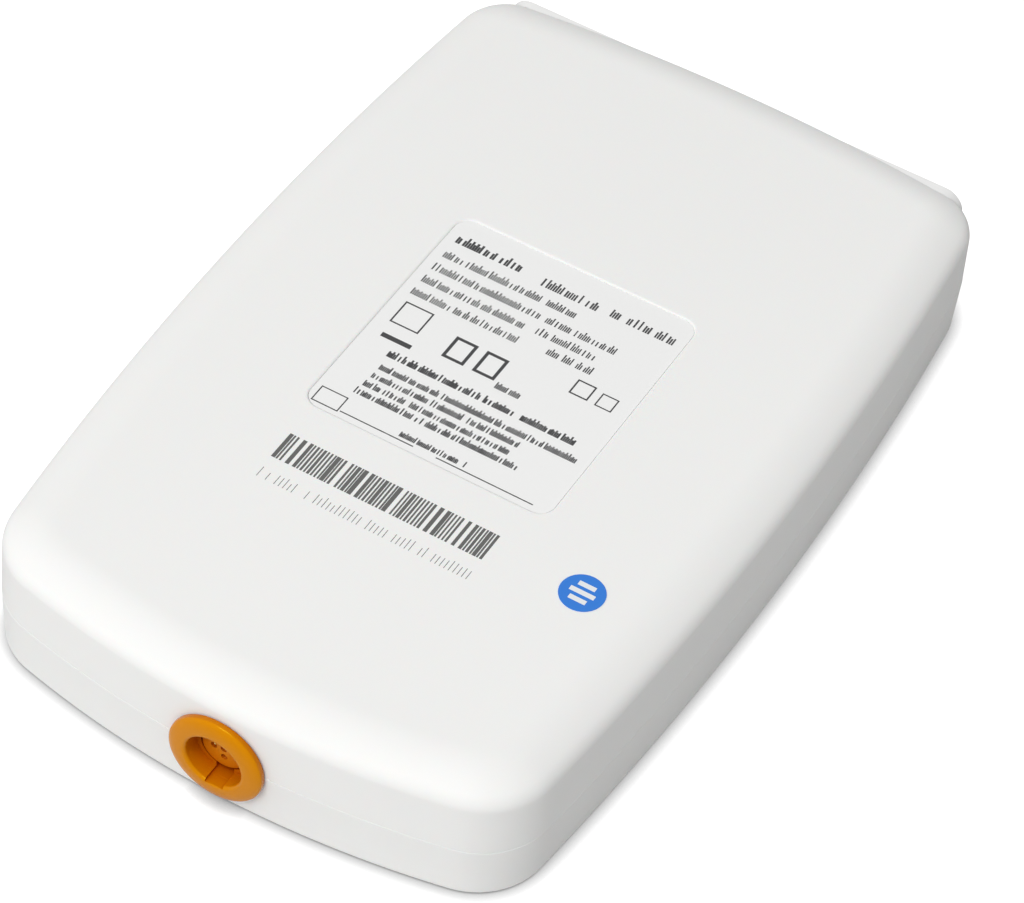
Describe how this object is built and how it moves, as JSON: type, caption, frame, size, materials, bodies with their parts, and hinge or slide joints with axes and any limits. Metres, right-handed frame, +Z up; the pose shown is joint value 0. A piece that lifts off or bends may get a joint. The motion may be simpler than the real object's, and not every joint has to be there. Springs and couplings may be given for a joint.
{
  "type": "pc ecg unit",
  "caption": "White plastic clamshell box lying label side up, with rolled top edges, an orange keyed patient socket at one end and a panel with a computer port at the other.",
  "frame": {"origin": "centre of the flat resting face on the front cover, at table height", "axes": "+X across the width, +Y along the length from the patient socket to the computer port, +Z up out of the labelled back"},
  "size_m": [0.11, 0.1742, 0.0261],
  "materials": {
    "cover_plastic": "white moulded plastic, fine satin",
    "panel_plastic": "white moulded plastic, satin",
    "label_film": "white printed film, satin",
    "sticker_film": "blue printed film",
    "socket_plastic": "orange moulded plastic, satin",
    "insert_plastic": "darker orange moulded plastic",
    "gold_contact": "gold plated, polished",
    "nut_plastic": "dark grey moulded plastic",
    "wire_insulation": "grey wire insulation",
    "header_plastic": "natural nylon",
    "tin_metal": "tin plated",
    "board_laminate": "green solder resist, satin",
    "screw_steel": "zinc plated steel",
    "arrester_body": "glazed white",
    "chip_black": "black moulding compound",
    "shield_metal": "tin plated sheet",
    "ferrite": "dark sintered ferrite",
    "bobbin_plastic": "black moulded plastic",
    "winding_copper": "enamelled copper",
    "can_aluminium": "bright aluminium",
    "ceramic_tan": "fired ceramic",
    "port_metal": "nickel plated sheet",
    "port_plastic": "white moulded plastic",
    "led_epoxy": "pale clear resin",
    "clear_plastic": "clear moulded plastic"
  },
  "bodies": {
    "root": {"back_cover": "cover_plastic", "front_cover": "cover_plastic", "end_panel": "panel_plastic", "rating_label": "label_film", "round_sticker": "sticker_film", "socket_housing": "socket_plastic", "socket_insert": "insert_plastic", "socket_contacts": "gold_contact", "socket_nut": "nut_plastic", "socket_board": "board_laminate", "ribbon_cable": "wire_insulation", "ribbon_plug": "header_plastic", "board_header": "header_plastic", "header_pins": "tin_metal", "main_board": "board_laminate", "board_screws": "screw_steel", "surge_arresters": "arrester_body", "protection_resistors": "chip_black", "amplifier_chips": "chip_black", "converter_chip": "chip_black", "controller_chip": "chip_black", "isolator_chips": "chip_black", "port_chip": "chip_black", "chip_leads": "tin_metal", "shield_frame": "shield_metal", "shield_lid": "shield_metal", "transformer_core": "ferrite", "transformer_bobbin": "bobbin_plastic", "transformer_winding": "winding_copper", "transformer_pin_set": "tin_metal", "capacitor_cans": "can_aluminium", "capacitor_bases": "chip_black", "power_inductor": "ferrite", "crystal_can": "shield_metal", "chip_capacitors": "ceramic_tan", "port_shell": "port_metal", "port_body": "port_plastic", "port_contacts": "gold_contact", "status_led": "led_epoxy", "light_guide": "clear_plastic"}
  },
  "joints": []
}
